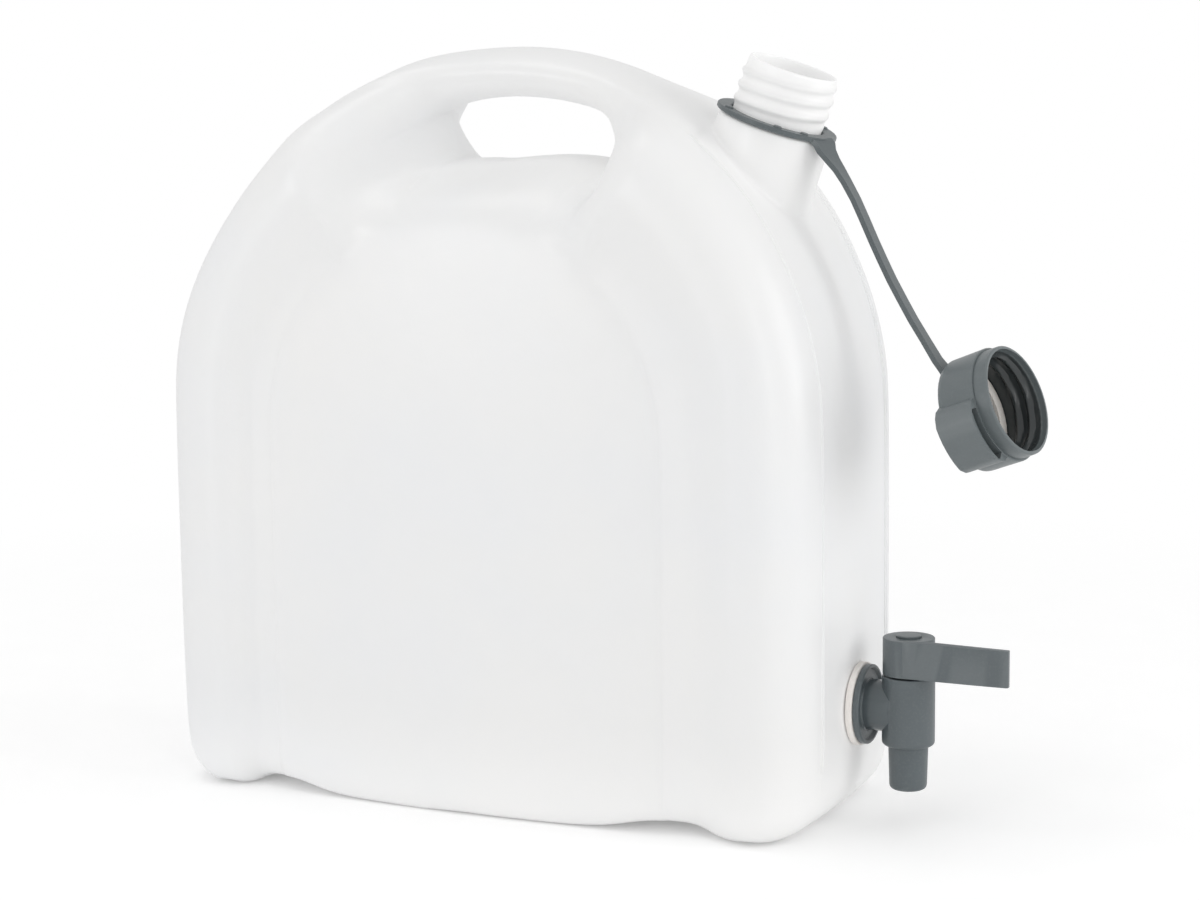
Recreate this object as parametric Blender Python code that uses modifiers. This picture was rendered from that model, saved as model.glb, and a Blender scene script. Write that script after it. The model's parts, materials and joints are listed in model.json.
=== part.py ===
"""A 10 litre jerrycan with a hollow handle, a captive screw cap and a drain tap.

+X points to the tap, -Y to the side seen first, +Z up. The origin is on the ground under the can's middle.
Sizes are millimetres. They become metres where an object is made.
"""

import math

import bmesh
import bpy
from mathutils import Matrix, Vector

MM = 0.001
GAP = 0.3

# Can, outside
CAN_R = 159.0
CAN_DEPTH = 137.0
ARCH_Z = 176.0
WALL = 2.0
STRIP_HALF = 38.5
STRIP_RECESS = 0.4
STRIP_SWELL = 2.3
EDGE_DROP = 1.5
CORNER_Y = 42.0
CREST_OUT = 132.5
CREST_IN = 127.0
VALLEY_OUT = 106.0
VALLEY_IN = 97.0
VALLEY_Y = 58.0
PANEL_R = 94.2
PANEL_EDGE_Y = 59.9
PANEL_CROWN = 5.0
END_ROUND = 21.0
END_ROUND_Z = 25.0
SIDE_ROUND = 13.0
PANEL_ROUND = 4.0
NOTCH_Z = 5.5
BASE_HOLLOW = 2.5
PANEL_SHIFT = -5.5
PANEL_DROP = 6.5

# Handle
BAR_TOP = 161.3
BAR_UNDER = 139.0
BAR_HALF_DEPTH = 22.0
ROOF_R = 113.5
ROOF_RISE = 10.5
ROOF_REAR_RISE = 2.2
REAR_HUMP = 2.4
REAR_DROP = 4.2
SHOULDER_R = 98.0
SHOULDER_Y = 58.8
BAR_FLARE = 8.0
HOLE_END = 19.0
FRONT_SKEW = (6.0, 8.5)
REAR_SKEW = (-3.6, -7.2)
SCOOP_END = 37.0
ARM_END = 38.4

# Neck
NECK_X = 129.1
NECK_Z = 327.9
NECK_TILT = 19.0
NECK_BASE_R = 25.5
NECK_ROOT_R = 20.0
NECK_BORE_R = 18.3
NECK_THREAD = 1.5
NECK_PITCH = 6.1
NECK_THREAD_TURN = 0.22
SHOULDER_DROP = 25.8
NECK_REAR = 34.5
NECK_FRONT = 59.5

# Strap
RING_IN_R = 20.7
RING_OUT_R = 26.7
STRAP_THICK = 2.2
STRAP_WIDE = 7.5
STUD_R = 3.4
NUB_TURNS = (-133, -68, -38, 51, 143)

# Cap
CAP_BACK = (208.0, -1.4, 181.0)
CAP_AXIS = (0.917, -0.169, 0.361)
CAP_SIDE = (-0.029, -0.931, -0.364)
CAP_R = 24.9
CAP_LONG = 24.7
COLLAR_R = 23.8
COLLAR_LONG = 5.6
CAP_FLOOR = 3.0
CAP_BORE_R = 21.9
CAP_THREAD = 1.5
POCKET_R = 30.4
POCKET_HALF = 15.0
POCKET_WALL = 1.5
SLOT_IN_R = 24.6

# Tap
TAP_X = 181.8
TAP_Z = 52.0
BARREL_R = 11.5
BARREL_LOW = 35.8
BARREL_TOP = 66.5
PIPE_R = 11.2
SPOUT_R = 8.7
SPOUT_TIP_R = 8.2
SPOUT_LOW = 16.1
FLANGE_R = 17.5
GASKET_R = 18.3
GASKET_THICK = 3.0
SHANK_R = 9.2
SHANK_THREAD = 0.9
SHANK_PITCH = 3.0
SHANK_END = 137.0
PORT_R = 5.0
PLUG_R = 8.3
CAVITY_R = 8.6
NUT_R = 15.5
HUB_R = 11.3
HUB_LOW = 67.4
HUB_TOP = 83.4
ARM_FALL = 1.7
ARM_END_X = 227.4
STEM_R = 5.3


def ease(low, high, x):
    """0 below low, 1 above high, smooth between."""
    t = min(max((x - low) / (high - low), 0.0), 1.0)
    return t * t * (3 - 2 * t)


def mix(a, b, w):
    return a + (b - a) * w


def mixed(p, q, w):
    return tuple(mix(a, b, w) for a, b in zip(p, q))


def collection(name):
    made = bpy.data.collections.new(name)
    bpy.context.scene.collection.children.link(made)
    return made


def material(name, colour, roughness, subsurface=0.0):
    made = bpy.data.materials.new(name)
    made.use_nodes = True
    shader = made.node_tree.nodes["Principled BSDF"]
    shader.inputs["Base Color"].default_value = (*colour, 1.0)
    shader.inputs["Roughness"].default_value = roughness
    shader.inputs["Subsurface Weight"].default_value = subsurface
    shader.inputs["Subsurface Radius"].default_value = (0.006, 0.006, 0.005)
    made.diffuse_color = (*colour, 1.0)
    return made


def new_object(name, verts, faces, home):
    """An object from millimetre points. Its normals face out."""
    mesh = bpy.data.meshes.new(name)
    mesh.from_pydata([Vector(v) * MM for v in verts], [], faces)
    work = bmesh.new()
    work.from_mesh(mesh)
    bmesh.ops.recalc_face_normals(work, faces=work.faces)
    work.to_mesh(mesh)
    work.free()
    made = bpy.data.objects.new(name, mesh)
    home.objects.link(made)
    return made


def finish(obj, surface, sharp=35.0):
    obj.data.materials.append(surface)
    obj.data.shade_smooth()
    obj.data.set_sharp_from_angle(angle=math.radians(sharp))


def as_cutter(obj):
    obj.hide_render = True
    obj.display_type = "WIRE"
    return obj


def boolean(obj, other, operation):
    step = obj.modifiers.new(f"{operation.lower()} {other.name}", "BOOLEAN")
    step.operation = operation
    step.solver = "EXACT"
    step.object = as_cutter(other)


def axes_matrix(origin, z_axis, x_axis):
    """Places local +Z on z_axis and local +X on x_axis made square to it. The origin is millimetres."""
    z = Vector(z_axis).normalized()
    x = Vector(x_axis)
    x = (x - z * x.dot(z)).normalized()
    turned_frame = Matrix((x, z.cross(x), z)).transposed().to_4x4()
    return Matrix.Translation(Vector(origin) * MM) @ turned_frame


def turned(name, profile, segments, home, placed=Matrix()):
    """A round piece from a closed (radius, height) profile that runs down its outer side."""
    mesh = bpy.data.meshes.new(name)
    count = len(profile)
    on_axis = profile[0][0] == 0 and profile[-1][0] == 0
    edges = [(i, i + 1) for i in range(count - 1)]
    if not on_axis:
        edges.append((count - 1, 0))
    mesh.from_pydata([(r * MM, 0, z * MM) for r, z in profile], edges, [])
    made = bpy.data.objects.new(name, mesh)
    home.objects.link(made)
    made.matrix_world = placed
    screw = made.modifiers.new("turn", "SCREW")
    screw.steps = segments
    screw.render_steps = segments
    screw.use_merge_vertices = True
    screw.merge_threshold = 0.00001
    screw.use_smooth_shade = True
    return made


def arc(centre, radius, start, end, count):
    """Points of an arc in (radius, height), angles in degrees."""
    points = []
    for i in range(count + 1):
        a = math.radians(mix(start, end, i / count))
        points.append((centre[0] + radius * math.cos(a), centre[1] + radius * math.sin(a)))
    return points


def thread_lift(turn, along, pitch, height, start, end, fade):
    """Height of a rounded helical ridge at this turn (0 to 1) and distance along the axis."""
    phase = (along / pitch - turn) % 1.0
    ridge = max(0.0, math.cos((phase - 0.5) * 2 * math.pi * 0.85))
    return height * ridge * ease(start, start + fade, along) * (1 - ease(end - fade, end, along))


def threaded_rod(name, profile, segments, thread, home, placed=Matrix()):
    """A solid rod from a (radius, height) profile, with a helical ridge added to its side."""
    verts = []
    for r, z in profile:
        for i in range(segments):
            lift = thread_lift(i / segments, z, *thread)
            a = 2 * math.pi * i / segments
            verts.append(((r + lift) * math.cos(a), (r + lift) * math.sin(a), z))
    faces = []
    for k in range(len(profile) - 1):
        for i in range(segments):
            j = (i + 1) % segments
            low, high = k * segments, (k + 1) * segments
            faces.append((low + i, low + j, high + j, high + i))
    faces.append(tuple(range(segments)))
    last = (len(profile) - 1) * segments
    faces.append(tuple(range(last + segments - 1, last - 1, -1)))
    made = new_object(name, verts, faces, home)
    made.matrix_world = placed
    return made


def outline_solid(name, points, low, high, home, placed=Matrix()):
    """A flat outline in X and Y as a filled curve, made solid from low to high."""
    curve = bpy.data.curves.new(name + " outline", "CURVE")
    curve.dimensions = "2D"
    curve.fill_mode = "BOTH"
    curve.extrude = (high - low) / 2 * MM
    line = curve.splines.new("POLY")
    line.points.add(len(points) - 1)
    for spot, (x, y) in zip(line.points, points):
        spot.co = (x * MM, y * MM, 0, 1)
    line.use_cyclic_u = True
    drawn = bpy.data.objects.new(name + " outline", curve)
    mesh = bpy.data.meshes.new_from_object(drawn)
    work = bmesh.new()
    work.from_mesh(mesh)
    bmesh.ops.remove_doubles(work, verts=work.verts, dist=0.00001)
    bmesh.ops.translate(work, verts=work.verts, vec=(0, 0, (high + low) / 2 * MM))
    bmesh.ops.recalc_face_normals(work, faces=work.faces)
    work.to_mesh(mesh)
    work.free()
    bpy.data.objects.remove(drawn)
    bpy.data.curves.remove(curve)
    mesh.name = name
    made = bpy.data.objects.new(name, mesh)
    home.objects.link(made)
    made.matrix_world = placed
    return made


# Can body: rows run from the spine's middle line to the side panel's middle, stations run round the arch


def band_section(swell, recess, with_valley):
    """(radius, half depth) of each row where the can has its full depth."""
    half = CAN_DEPTH / 2
    fall = mix(EDGE_DROP, STRIP_SWELL, recess) * swell
    rows = []
    for i in range(5):
        y = STRIP_HALF * (i / 4) ** 0.95
        rows.append((CAN_R - recess * STRIP_RECESS - fall * (y / CORNER_Y) ** 2, y))
    edge = CAN_R - EDGE_DROP * swell
    rows.append((edge, STRIP_HALF + 1.6))
    for i in range(5):
        a = math.pi / 2 * i / 4
        y = CORNER_Y + (half - CORNER_Y) * math.sin(a)
        rows.append((CREST_OUT + (edge - CREST_OUT) * math.cos(a), y))
    rows.append((CREST_IN, half))
    face_end = SHOULDER_R + 5.0
    for i in range(1, 6):
        t = i / 5
        if with_valley:
            rows.append((mix(CREST_IN, VALLEY_OUT, t), mix(half, VALLEY_Y, ease(0, 1, t))))
        else:
            rows.append((mix(CREST_IN, face_end, t), half - 5.8 * t**1.6))
    if with_valley:
        rows.append((VALLEY_IN, VALLEY_Y))
    else:
        rows.append((SHOULDER_R, SHOULDER_Y + 1.4))
    return rows + panel_rows(VALLEY_Y + (0.1 if with_valley else 1.0))


def panel_rows(foot_y):
    rows = [(PANEL_R + 1.3, foot_y), (PANEL_R, PANEL_EDGE_Y)]
    for share in (0.89, 0.72, 0.45, 0.2, 0.0):
        rows.append((PANEL_R * share, PANEL_EDGE_Y + PANEL_CROWN * (1 - share**2)))
    return rows


def handle_section(angle):
    """The same rows over the handle hole: the bar is rows 0 to 12, the roof starts at row 13."""
    near_end = abs(angle / HOLE_END) ** (14 if angle > 0 else 8) if abs(angle) < HOLE_END else 1.0
    under = BAR_UNDER - (4.5 if angle > 0 else 2.0) * near_end
    middle = (BAR_TOP + under) / 2
    rows = []
    for a in (90, 74, 58, 42, 28, 16, 4, -10, -25, -41, -58, -74, -90):
        turn = math.radians(a)
        y = BAR_HALF_DEPTH * math.cos(turn) if abs(a) < 90 else 0.0
        rows.append((middle + (BAR_TOP - middle) * math.sin(turn), y))
    seam = ROOF_R + ROOF_RISE * ease(-4, 21, angle) + near_end
    seam += ROOF_REAR_RISE * ease(0, HOLE_END, -angle)
    for i in range(5):
        a = math.pi / 2 * i / 4
        rows.append((SHOULDER_R + (seam - SHOULDER_R) * math.cos(a), SHOULDER_Y * math.sin(a)))
    return rows + panel_rows(VALLEY_Y + 1.0)


def handle_weight(row, angle):
    """How far a row has gone from the handle's section (0) to the full one (1)."""
    reach = abs(angle)

    def wall(x):
        return (x * (2 - x)) ** 0.62 if angle > 0 else x * (1.5 - 0.5 * x)

    if row <= 12:
        late = row / 12
        start = mix(BAR_FLARE, HOLE_END, late**2)
        x = min(max((reach - start) / (SCOOP_END - start), 0.0), 1.0)
        return mix(ease(0, 1, x), wall(x), late**5)
    x = min(max((reach - HOLE_END) / (SCOOP_END - HOLE_END), 0.0), 1.0)
    slow = min((row - 13) / 5, 1.0)
    return mix(wall(x), ease(0, 1, x), slow)


def arch_section(angle):
    swell = math.sin(math.radians(angle)) ** 2
    recess = ease(SCOOP_END - 7, ARM_END, angle)
    if abs(angle) > SCOOP_END + 0.01:
        return band_section(swell, recess, True)
    full = band_section(swell, recess, False)
    slim = handle_section(angle)
    rows = []
    for row, (p, q) in enumerate(zip(slim, full)):
        rows.append(mixed(p, q, handle_weight(row, angle)))
    return rows


def skew(angle, row):
    """Degrees that this row is moved along the arch, so that the hole's ends lean, the front one further."""
    reach = abs(angle)
    share = min(reach / HOLE_END, 1.0) * (1 - ease(HOLE_END, NECK_REAR, reach))
    bar, roof = FRONT_SKEW if angle > 0 else REAR_SKEW
    amount = bar * row / 12 if row <= 12 else roof * max(0.0, 1 - (row - 13) / 4)
    return amount * share * math.copysign(1.0, angle)


def aside(row):
    """Share of the panel's offset that a row takes: none on the crest, all of it from the shoulder on."""
    return min(max((row - 12) / 5, 0.0), 1.0)


def rear_shape(angle, row):
    """Extra radius on the rear arm: fuller beside the handle, with rounder edges lower down."""
    full = REAR_HUMP * ease(5, 19, -angle) * (1 - ease(19, 33, -angle))
    round_edge = REAR_DROP * ease(24, 44, -angle) * (1 - ease(50, 80, -angle)) * ease(0, 4, row)
    return (full - round_edge) * (1 - ease(8, 11, row))


def arch_points(angle):
    points = []
    for row, (r, y) in enumerate(arch_section(angle)):
        r += rear_shape(angle, row)
        turn = math.radians(angle + skew(angle, row))
        x = r * math.sin(turn) + aside(row) * PANEL_SHIFT
        points.append((x, y, ARCH_Z + r * math.cos(turn) - aside(row) * PANEL_DROP))
    return points


def leg_points(side, z):
    recess = ease(END_ROUND_Z + 1, END_ROUND_Z + 4, z) if side > 0 else 0.0
    points = []
    for row, (r, y) in enumerate(band_section(1.0, recess, True)):
        points.append((side * r + aside(row) * PANEL_SHIFT, y, z * (1 - aside(row) * PANEL_DROP / ARCH_Z)))
    return points


def base_points(side, bend):
    """The station this many degrees round the base's edge, 90 being the underside."""
    turn = math.radians(bend)
    points = []
    for row, (r, y) in enumerate(band_section(1.0, 0.0, True)):
        corner = math.pi / 2 * min(max((row - 6) / 4, 0.0), 1.0)
        wide = ease(PANEL_R, CREST_IN, r)
        in_x = END_ROUND * math.cos(corner) if row < 10 else 0.0
        in_y = mix(PANEL_ROUND, SIDE_ROUND, wide) * math.sin(corner)
        tall = mix(14.0, END_ROUND_Z, wide)
        foot = NOTCH_Z * ease(70, 86, r) * (1 - ease(103, 119, r))
        shift = 1 - math.cos(turn)
        z = foot + tall * (1 - math.sin(turn)) if bend < 90 else foot
        points.append((side * (r - in_x * shift) + aside(row) * PANEL_SHIFT, y - in_y * shift, z))
    return points


def under_points(side, strip, rim):
    """Columns of the underside. Each runs from the rim (first) to the middle line (last)."""
    columns = []
    last = len(strip) - 1
    for x, y, z in rim:
        column = []
        for j in range(last, -1, -1):
            u = strip[j][1] / strip[last][1]
            pull = ease(108, abs(strip[last][0]), abs(x))
            hollow = BASE_HOLLOW * ease(26, 34, abs(x)) * (1 - ease(88, 112, abs(x)))
            hollow *= 1 - ease(0.55, 0.7, u)
            height = max(z * ease(0.5, 1.0, u), hollow)
            column.append((x + (strip[j][0] - strip[last][0]) * pull, y * u, height))
        columns.append(column)
    return columns


class Skin:
    """Points and faces of a surface that is the same on both sides of the plane Y = 0."""

    def __init__(self):
        self.verts = []
        self.faces = []
        self.known = {}

    def spot(self, x, y, z):
        key = (round(x, 3), round(y, 3), round(z, 3))
        if key not in self.known:
            self.known[key] = len(self.verts)
            self.verts.append((x, y, z))
        return self.known[key]

    def face(self, points):
        """Adds the face and its mirror image."""
        for sign in (1, -1):
            loop = [self.spot(x, sign * y, z) for x, y, z in points[::sign]]
            loop = [v for i, v in enumerate(loop) if v != loop[i - 1]]
            if len(loop) > 2:
                self.faces.append(tuple(loop))

    def inset(self, amount):
        """The points moved inwards along their normals."""
        normals = [Vector() for _ in self.verts]
        spots = [Vector(v) for v in self.verts]
        for face in self.faces:
            centre = sum((spots[v] for v in face), Vector()) / len(face)
            for a, b in zip(face, face[1:] + face[:1]):
                part = (spots[a] - centre).cross(spots[b] - centre)
                normals[a] += part
                normals[b] += part
        return [tuple(p - n.normalized() * amount) for p, n in zip(spots, normals)]


def can_skin(rows, arch, legs, bends, strip_rows):
    """The can's outside without the neck, and the loop of points round the neck's opening."""
    front = [base_points(1, b) for b in reversed(bends)] + [leg_points(1, z) for z in legs]
    rear = [leg_points(-1, z) for z in reversed(legs)] + [base_points(-1, b) for b in bends]
    stations = front + [arch_points(a) for a in arch] + rear
    first_arch = len(front)
    neck = [first_arch + i for i, a in enumerate(arch) if NECK_REAR <= a <= NECK_FRONT]
    hole = [first_arch + i for i, a in enumerate(arch) if abs(a) <= HOLE_END]
    skin = Skin()
    for s in range(len(stations) - 1):
        for k, below in zip(rows, rows[1:]):
            if below <= 3 and neck[0] <= s < neck[-1]:
                continue
            if k == 12 and hole[0] <= s < hole[-1]:
                continue
            here, there = stations[s], stations[s + 1]
            skin.face([here[k], here[below], there[below], there[k]])
    for side, rim in ((1, stations[0]), (-1, stations[-1])):
        strip = [rim[k] for k in rows if k <= strip_rows]
        columns = under_points(side, strip, [rim[k] for k in rows if k >= strip_rows])
        for left, right in zip(columns, columns[1:]):
            for j in range(len(left) - 1):
                corners = [left[j], left[j + 1], right[j + 1], right[j]]
                skin.face(corners[::side])
    edge = [stations[neck[-1]][k] for k in (0, 1, 2)]
    edge += [stations[s][3] for s in reversed(neck)]
    edge += [stations[neck[0]][k] for k in (2, 1, 0)]
    loop = [skin.spot(*p) for p in edge] + [skin.spot(x, -y, z) for x, y, z in edge[-2:0:-1]]
    return skin, loop


def neck_frame():
    """Rim centre, axis up and the two directions across the neck: to the front and to +Y."""
    tilt = math.radians(NECK_TILT)
    up = Vector((math.sin(tilt), 0, math.cos(tilt)))
    return Vector((NECK_X, 0, NECK_Z)), up, Vector((math.cos(tilt), 0, -math.sin(tilt))), Vector((0, 1, 0))


def on_neck(radius, turn, depth):
    rim, up, front, side = neck_frame()
    return rim + front * (radius * math.cos(turn)) + side * (radius * math.sin(turn)) - up * depth


def depth_on_can(radius, turn, inset):
    """How far below the rim this line of the neck meets the can's surface."""
    depth = 40.0
    for _ in range(30):
        p = on_neck(radius, turn, depth)
        swell = math.sin(math.atan2(p.x, p.z - ARCH_Z)) ** 2
        surface = CAN_R - STRIP_RECESS - STRIP_SWELL * swell * (p.y / CORNER_Y) ** 2 - inset
        depth += (math.hypot(p.x, p.z - ARCH_Z) - surface) * 0.9
    return depth


def neck_rings(inset):
    """Rings from the can's surface to the rim, as a function of the turn: (radius, depth) pairs."""

    def outside(turn):
        share = turn / (2 * math.pi)
        foot = depth_on_can(NECK_BASE_R, turn, 0.0)
        rings = [(NECK_BASE_R + 1.8, depth_on_can(NECK_BASE_R + 1.8, turn, 0.0))]
        rings += [(NECK_BASE_R + 0.7, foot - 0.8), (NECK_BASE_R + 0.1, foot - 1.9)]
        rings += [(NECK_BASE_R, foot - 3.2)]
        rings += [(NECK_BASE_R - 0.2, SHOULDER_DROP + 3.0), (NECK_BASE_R - 0.4, SHOULDER_DROP + 0.8)]
        rings += [(NECK_BASE_R - 1.2, SHOULDER_DROP), (NECK_ROOT_R + 0.5, SHOULDER_DROP)]
        thread = (NECK_PITCH, NECK_THREAD, 2.6, SHOULDER_DROP - 2.8, 2.4)
        depth = SHOULDER_DROP - 1.0
        while depth > 2.6:
            lift = thread_lift(NECK_THREAD_TURN - share, depth, *thread)
            rings.append((NECK_ROOT_R + lift, depth))
            depth -= NECK_PITCH / 5
        return rings + [(NECK_ROOT_R - 0.1, 0.5), (NECK_ROOT_R - 0.5, 0.0)]

    def inside(turn):
        step = SHOULDER_DROP + inset
        bore = NECK_BORE_R
        rings = [(bore + 0.4, 0.0), (bore, 0.5), (bore, step - 0.4), (bore + 0.6, step)]
        rings += [(NECK_BASE_R - inset - 1.0, step + 0.3), (NECK_BASE_R - inset - 0.2, step + 2.0)]
        foot = depth_on_can(NECK_BASE_R - inset, turn, inset)
        return rings + [(NECK_BASE_R - inset, foot - 1.8), (NECK_BASE_R - inset + 1.6, foot - 0.1)]

    return outside, inside


def can_body(home, cutters, surface):
    rise = [84, 78, 72, 66]
    neck = [59.5, 56.5, 53.5, 50.5, 47.5, 44.5, 41.5, 38.4, 37.0, 34.5]
    scoop = [31.5, 28.5, 25.5, 23.0, 21.0, 19.9, 19.0]
    hole = [18.0, 16.2, 13.0, 9.0, 4.5]
    rear_band = [43.0, 48.5, 54.0, 60.0]
    half_arch = [90] + rise + neck + scoop + hole + [0]
    rear = [a for a in half_arch if a <= ARM_END] [::-1][1:] + rear_band + rise[::-1] + [90]
    arch = half_arch + [-a for a in rear]
    outer, outer_loop = can_skin(
        list(range(25)), arch[1:-1], [27.0, 66.0, 120.0, ARCH_Z], [22.5, 45.0, 67.5, 90.0], 4
    )
    coarse = [a for a in arch[1:-1] if abs(a) not in (28.5, 23.0, 19.9, 18.0, 13.0, 4.5)]
    inner, inner_loop = can_skin(
        [0, 1, 2, 3, 5, 7, 8, 10, 11, 12, 13, 14, 16, 17, 19, 21, 22, 23, 24],
        coarse,
        [27.0, ARCH_Z],
        [30.0, 60.0, 90.0],
        3,
    )
    verts = list(outer.verts)
    faces = list(outer.faces)
    start = len(verts)
    verts += inner.inset(WALL)
    faces += [tuple(start + v for v in reversed(face)) for face in inner.faces]
    outside, inside = neck_rings(WALL)
    count = len(outer_loop)
    rim, _, front, _ = neck_frame()
    edge = [Vector(verts[v]) for v in outer_loop]
    turns = [math.atan2(p.y, (p - rim).dot(front)) % (2 * math.pi) for p in edge]
    loops = []
    for rings in (outside, inside):
        columns = [rings(turn) for turn in turns]
        for ring in range(len(columns[0])):
            loops.append(range(len(verts), len(verts) + count))
            for turn, column in zip(turns, columns):
                radius, depth = column[ring]
                verts.append(tuple(on_neck(radius, turn, depth)))
    loops = [outer_loop] + loops + [[start + v for v in inner_loop]]
    for low, high in zip(loops, loops[1:]):
        for i in range(count):
            j = (i + 1) % count
            faces.append((low[i], low[j], high[j], high[i]))
    body = new_object("can_body", verts, faces, home)
    finish(body, surface, 28.0)
    hole_r = SHANK_R + SHANK_THREAD + GAP
    drill = turned(
        "tap hole cutter",
        [(0, 12.0), (hole_r, 12.0), (hole_r, -12.0), (0, -12.0)],
        32,
        cutters,
        axes_matrix((CAN_R - 2.0, 0, TAP_Z), (1, 0, 0), (0, 0, 1)),
    )
    boolean(body, drill, "DIFFERENCE")
    return body


# Strap: a ring round the neck, a flat strip and an end ring on the cap's stud


def strap_path():
    """Middle line of the strip from the neck ring to the stud, as (x, y, z)."""
    bends = [(143.8, -7.3, 297.0), (145.8, -8.0, 295.2), (146.9, -8.4, 292.4), (149.4, -8.2, 288.7)]
    bends += [(152.3, -7.6, 284.6), (155.2, -6.8, 279.6), (158.9, -5.2, 272.0), (162.3, -3.4, 263.4)]
    bends += [(165.5, -1.6, 254.9), (169.2, -0.4, 246.3), (173.3, 0.0, 237.9), (178.0, 0.0, 229.6)]
    bends += [(182.9, 0.0, 221.2), (188.3, 0.0, 212.9), (193.7, 0.0, 204.5), (197.0, 0.0, 200.6)]
    return bends + [(199.6, 0.0, 197.0), (202.3, 0.0, 190.9), (204.7, 0.0, 184.8)]


def neck_strap(home, cutters, surface):
    low = -SHOULDER_DROP + GAP
    up = Vector(neck_frame()[1])
    placed = axes_matrix((NECK_X, 0, NECK_Z), up, neck_frame()[2])
    soft = 0.4
    profile = [(RING_IN_R, low + STRAP_THICK - soft), (RING_IN_R + soft, low + STRAP_THICK)]
    profile += [(RING_OUT_R - soft, low + STRAP_THICK), (RING_OUT_R, low + STRAP_THICK - soft)]
    profile += [(RING_OUT_R, low + soft), (RING_OUT_R - soft, low), (RING_IN_R + soft, low)]
    profile += [(RING_IN_R, low + soft)]
    ring = turned("neck_strap", profile, 40, home, placed)
    path = strap_path()
    verts = []
    for i, (x, middle, z) in enumerate(path):
        before = Vector(path[max(i - 1, 0)]).xz
        after = Vector(path[min(i + 1, len(path) - 1)]).xz
        along = (after - before).normalized()
        across = Vector((along.y, -along.x))
        half = STRAP_WIDE / 2 * (1 + 0.7 * (1 - ease(0, 4.5, i)))
        thick = STRAP_THICK / 2
        lean = 0.29 * (1 - ease(1, 6, i))
        lean -= CAP_AXIS[1] / CAP_AXIS[0] * ease(len(path) - 6, len(path) - 3, i)
        for y, lift in ((-half, thick), (half, thick), (half, -thick), (-half, -thick)):
            verts.append((x - across.x * lift + lean * y, middle + y, z - across.y * lift))
    faces = [(0, 1, 2, 3)]
    for i in range(len(path) - 1):
        for k in range(4):
            m = (k + 1) % 4
            faces.append((4 * i + k, 4 * i + m, 4 * i + 4 + m, 4 * i + 4 + k))
    last = 4 * (len(path) - 1)
    faces.append((last + 3, last + 2, last + 1, last))
    strip = new_object("strap strip", verts, faces, cutters)
    boolean(ring, strip, "UNION")
    back = cap_matrix()
    end = turned(
        "strap end ring",
        [(STUD_R + GAP, -0.4), (8.0, -0.4), (8.0, -0.4 - STRAP_THICK), (STUD_R + GAP, -0.4 - STRAP_THICK)],
        24,
        cutters,
        back,
    )
    boolean(ring, end, "UNION")
    for turn in NUB_TURNS:
        spot = on_neck((RING_IN_R + RING_OUT_R) / 2, math.radians(turn), -low - STRAP_THICK)
        dome = [(0, 0.7), (1.5, 0.7), (1.9, 0.3), (1.9, -0.6), (0, -0.6)]
        nub = turned(f"ring nub {turn}", dome, 12, cutters)
        nub.matrix_world = axes_matrix(spot, up, neck_frame()[2])
        boolean(ring, nub, "UNION")
    finish(ring, surface)
    return ring


# Cap


def cap_matrix():
    return axes_matrix(CAP_BACK, CAP_AXIS, CAP_SIDE)


def pocket_outline(outer, half, corner):
    """The pocket's outside: flat sides and a round face about the cap's axis, with soft corners."""
    reach = math.sqrt(outer**2 - half**2)
    inner = CAP_BORE_R - 4.0
    points = [(inner, -half)]
    points += [(reach - corner, -half), (reach - corner * 0.25, -half + corner * 0.35)]
    steps = 6
    edge = math.atan2(half - corner, outer)
    for i in range(steps + 1):
        a = mix(-edge, edge, i / steps)
        points.append((outer * math.cos(a), outer * math.sin(a)))
    points += [(reach - corner * 0.25, half - corner * 0.35), (reach - corner, half), (inner, half)]
    return points


def slot_outline(inner, outer, inner_half, outer_half):
    """A patch of ring between two radii. The half widths are in degrees and its outer corners are soft."""
    points = arc((0, 0), inner, -inner_half, inner_half, 8)
    points += arc((0, 0), outer - 1.0, inner_half - 0.6, inner_half - 0.6, 1)[:1]
    points += arc((0, 0), outer, outer_half, -outer_half, 8)
    return points + arc((0, 0), outer - 1.0, 0.6 - inner_half, 0.6 - inner_half, 1)[:1]


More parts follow.
